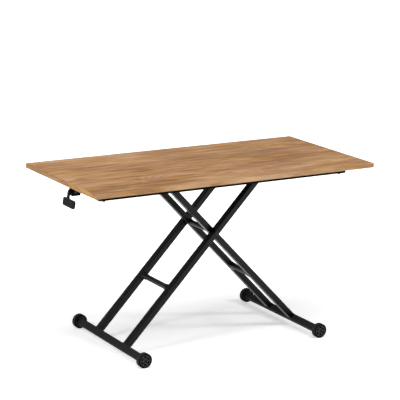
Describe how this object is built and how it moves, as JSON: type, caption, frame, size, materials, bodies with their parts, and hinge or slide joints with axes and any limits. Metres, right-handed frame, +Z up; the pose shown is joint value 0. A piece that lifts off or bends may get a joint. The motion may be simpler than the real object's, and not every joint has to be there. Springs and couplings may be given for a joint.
{
  "type": "folding desk",
  "caption": "Folding desk: a wood-look board on a scissor frame with wheeled foot bars, raised and lowered by a lockable gas spring with a hanging release lever.",
  "frame": {"origin": "on the floor, under the middle of the board", "axes": "+X along the length of the board towards the end without the lever, +Y to the rear, +Z up"},
  "size_m": [1.2, 0.6, 0.6828],
  "materials": {
    "oak_decor": "satin oak decor with the grain along the length",
    "edge_band": "satin oak decor edging",
    "black_steel": "fine matt powder coat",
    "black_plastic": "moulded, lightly grained",
    "tyre_rubber": "soft grey-black tread",
    "nylon": "moulded nylon",
    "chrome_rod": "hard chrome",
    "fastener_steel": "black zinc",
    "bright_steel": "drawn steel"
  },
  "bodies": {
    "top": {"board_screws": "fastener_steel", "edge_band_front": "edge_band", "edge_band_left": "edge_band", "edge_band_rear": "edge_band", "edge_band_right": "edge_band", "fixed_axle": "bright_steel", "fixed_axle_bolts": "fastener_steel", "fixed_axle_spacers": "black_steel", "gas_piston": "bright_steel", "gas_rod": "chrome_rod", "lever_bracket": "black_steel", "lever_pin": "fastener_steel", "rail_end_bolts": "fastener_steel", "rail_end_stops": "black_plastic", "rail_front": "black_steel", "rail_rear": "black_steel", "rod_anchor": "black_steel", "rod_nuts": "fastener_steel", "table_top": "oak_decor"},
    "outer_legs": {"outer_leg_front": "black_steel", "outer_leg_rear": "black_steel", "outer_leg_bushes": "nylon", "outer_crossbar": "black_steel", "left_foot_bar": "black_steel", "left_foot_plugs": "black_plastic", "left_wheel_axles": "fastener_steel", "centre_shaft": "bright_steel", "centre_caps": "fastener_steel"},
    "inner_legs": {"inner_leg_front": "black_steel", "inner_leg_rear": "black_steel", "inner_top_bushes": "nylon", "centre_bushes": "nylon", "inner_crossbar": "black_steel", "centre_tube": "black_steel", "right_foot_bar": "black_steel", "right_foot_plugs": "black_plastic", "right_wheel_axles": "fastener_steel"},
    "carriage": {"carriage_block": "black_steel", "carriage_axle_front": "bright_steel", "carriage_axle_rear": "bright_steel", "carriage_spacers": "black_steel", "gas_cylinder": "black_steel", "gas_gland": "bright_steel"},
    "roller_front": {"roller_front": "nylon"},
    "roller_rear": {"roller_rear": "nylon"},
    "wheel_left_front": {"wheel_left_front_hub": "black_plastic", "wheel_left_front_tyre": "tyre_rubber"},
    "wheel_left_rear": {"wheel_left_rear_hub": "black_plastic", "wheel_left_rear_tyre": "tyre_rubber"},
    "wheel_right_front": {"wheel_right_front_hub": "black_plastic", "wheel_right_front_tyre": "tyre_rubber"},
    "wheel_right_rear": {"wheel_right_rear_hub": "black_plastic", "wheel_right_rear_tyre": "tyre_rubber"},
    "lever": {"release_lever": "black_steel"},
    "pin": {"release_pin": "chrome_rod"}
  },
  "joints": [
    {"name": "fold", "type": "hinge", "parent": "top", "child": "outer_legs", "pos_m": [0.20404, 0, 0.64881], "axis": [0, 1, 0], "range_deg": [-7.7, 38.3]},
    {"name": "scissor", "type": "hinge", "parent": "outer_legs", "child": "inner_legs", "pos_m": [-0.0015, 0, 0.43372], "axis": [0, 1, 0], "range_deg": [-76.6, 15.4]},
    {"name": "carriage_pivot", "type": "hinge", "parent": "inner_legs", "child": "carriage", "pos_m": [-0.20704, 0, 0.64881], "axis": [0, 1, 0], "range_deg": [-7.7, 38.3]},
    {"name": "roller_front_spin", "type": "hinge", "parent": "carriage", "child": "roller_front", "pos_m": [-0.20704, -0.1992, 0.64881], "axis": [0, 1, 0], "continuous": true},
    {"name": "roller_rear_spin", "type": "hinge", "parent": "carriage", "child": "roller_rear", "pos_m": [-0.20704, 0.1992, 0.64881], "axis": [0, 1, 0], "continuous": true},
    {"name": "wheel_left_front_spin", "type": "hinge", "parent": "outer_legs", "child": "wheel_left_front", "pos_m": [-0.38874, -0.272, 0.0285], "axis": [0, 1, 0], "continuous": true},
    {"name": "wheel_left_rear_spin", "type": "hinge", "parent": "outer_legs", "child": "wheel_left_rear", "pos_m": [-0.38874, 0.272, 0.0285], "axis": [0, 1, 0], "continuous": true},
    {"name": "wheel_right_front_spin", "type": "hinge", "parent": "inner_legs", "child": "wheel_right_front", "pos_m": [0.38574, -0.272, 0.0285], "axis": [0, 1, 0], "continuous": true},
    {"name": "wheel_right_rear_spin", "type": "hinge", "parent": "inner_legs", "child": "wheel_right_rear", "pos_m": [0.38574, 0.272, 0.0285], "axis": [0, 1, 0], "continuous": true},
    {"name": "lever_swing", "type": "hinge", "parent": "top", "child": "lever", "pos_m": [-0.543, 0, 0.62781], "axis": [0, 1, 0], "range_deg": [0, 10], "stiffness_Nm_per_rad": 10, "springref_deg": -2.86},
    {"name": "release_pin_slide", "type": "slide", "parent": "top", "child": "pin", "axis": [1, 0, 0], "range_m": [0, 0.00377]}
  ],
  "couplings": [
    {"joint": "scissor", "follows": "fold", "ratio": -2},
    {"joint": "carriage_pivot", "follows": "fold", "ratio": 1},
    {"joint": "release_pin_slide", "follows": "lever_swing", "m_per_rad": 0.021}
  ]
}
